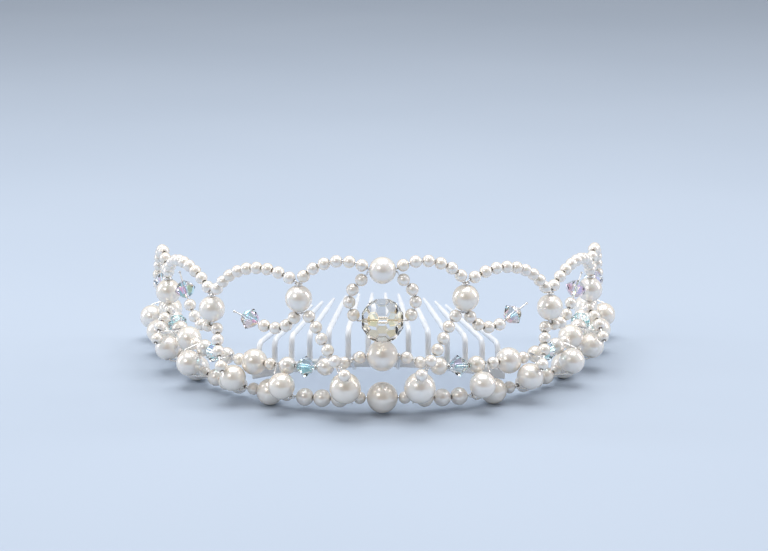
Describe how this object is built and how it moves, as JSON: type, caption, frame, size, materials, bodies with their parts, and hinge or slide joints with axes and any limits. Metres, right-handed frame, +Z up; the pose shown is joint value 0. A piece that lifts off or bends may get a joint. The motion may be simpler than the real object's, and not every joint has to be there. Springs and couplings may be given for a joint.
{
  "type": "bridal tiara",
  "caption": "Curved bridal tiara of threaded pearls and cut crystals on silver wire, with scalloped arches and a toothed hair comb wired behind.",
  "frame": {"origin": "centre of the bounding box's base, on the table under the band's mid depth", "axes": "+X towards the wearer's left as seen from the front (viewer's right), +Y from the front of the band back over the head, the way the comb's teeth point, +Z up"},
  "size_m": [0.119, 0.0716, 0.0369],
  "materials": {
    "pearl": "pearlescent coating",
    "crystal": "cut and polished, iridescent coating",
    "wire": "silver-plated craft wire",
    "comb": "moulded, milky white"
  },
  "bodies": {
    "tiara": {"comb": "comb", "crystals_upper_rail_left": "crystal", "crystals_upper_rail_right": "crystal", "pearl_centre_lower": "pearl", "pearl_centre_upper": "pearl", "pearl_crown": "pearl", "pearl_peak_1_left": "pearl", "pearl_peak_1_right": "pearl", "pearl_peak_2_left": "pearl", "pearl_peak_2_right": "pearl", "pearl_peak_3_left": "pearl", "pearl_peak_3_right": "pearl", "pearls_arch_1_left": "pearl", "pearls_arch_1_right": "pearl", "pearls_arch_2_left": "pearl", "pearls_arch_2_right": "pearl", "pearls_arch_3_left": "pearl", "pearls_arch_3_right": "pearl", "pearls_arch_4_left": "pearl", "pearls_arch_4_right": "pearl", "pearls_cross_left": "pearl", "pearls_cross_right": "pearl", "pearls_loop_left": "pearl", "pearls_loop_right": "pearl", "pearls_lower_rail_left": "pearl", "pearls_lower_rail_right": "pearl", "pearls_strand_1_left": "pearl", "pearls_strand_1_right": "pearl", "pearls_strand_2_left": "pearl", "pearls_strand_2_right": "pearl", "pearls_strand_3_left": "pearl", "pearls_strand_3_right": "pearl", "pearls_tendril_1_left": "pearl", "pearls_tendril_1_right": "pearl", "pearls_tendril_2_left": "pearl", "pearls_tendril_2_right": "pearl", "pearls_tendril_3_left": "pearl", "pearls_tendril_3_right": "pearl", "pearls_upper_rail_left": "pearl", "pearls_upper_rail_right": "pearl", "wire_bindings": "wire", "wire_centre_arches": "wire", "wire_loop": "wire", "wire_lower_rail": "wire", "wire_side_1_left": "wire", "wire_side_1_right": "wire", "wire_side_2_left": "wire", "wire_side_2_right": "wire", "wire_side_3_left": "wire", "wire_side_3_right": "wire", "wire_upper_rail": "wire", "wires_cross": "wire"},
    "ball_crystal": {"crystal_centre": "crystal"},
    "tip_crystal_1_left": {"crystal_tendril_1_left": "crystal"},
    "tip_crystal_2_left": {"crystal_tendril_2_left": "crystal"},
    "tip_crystal_3_left": {"crystal_tendril_3_left": "crystal"},
    "tip_crystal_1_right": {"crystal_tendril_1_right": "crystal"},
    "tip_crystal_2_right": {"crystal_tendril_2_right": "crystal"},
    "tip_crystal_3_right": {"crystal_tendril_3_right": "crystal"}
  },
  "joints": [
    {"name": "ball_crystal_spin", "type": "hinge", "parent": "tiara", "child": "ball_crystal", "pos_m": [0, -0.02996, 0.02235], "axis": [1, 0, 0], "continuous": true},
    {"name": "tip_crystal_spin_1_left", "type": "hinge", "parent": "tiara", "child": "tip_crystal_1_left", "pos_m": [-0.02948, -0.02069, 0.02027], "axis": [-0.816, 0.525, 0.242], "continuous": true},
    {"name": "tip_crystal_spin_2_left", "type": "hinge", "parent": "tiara", "child": "tip_crystal_2_left", "pos_m": [-0.0452, -0.00314, 0.02245], "axis": [-0.3078, 0.5332, 0.788], "continuous": true},
    {"name": "tip_crystal_spin_3_left", "type": "hinge", "parent": "tiara", "child": "tip_crystal_3_left", "pos_m": [-0.05232, 0.01988, 0.01845], "axis": [-0.1293, 0.6019, 0.788], "continuous": true},
    {"name": "tip_crystal_spin_1_right", "type": "hinge", "parent": "tiara", "child": "tip_crystal_1_right", "pos_m": [0.02924, -0.02086, 0.02105], "axis": [0.7572, 0.4842, 0.4384], "continuous": true},
    {"name": "tip_crystal_spin_2_right", "type": "hinge", "parent": "tiara", "child": "tip_crystal_2_right", "pos_m": [0.0454, -0.00277, 0.02208], "axis": [0.3571, 0.6244, 0.6947], "continuous": true},
    {"name": "tip_crystal_spin_3_right", "type": "hinge", "parent": "tiara", "child": "tip_crystal_3_right", "pos_m": [0.05232, 0.01988, 0.01845], "axis": [0.1293, 0.6019, 0.788], "continuous": true}
  ]
}
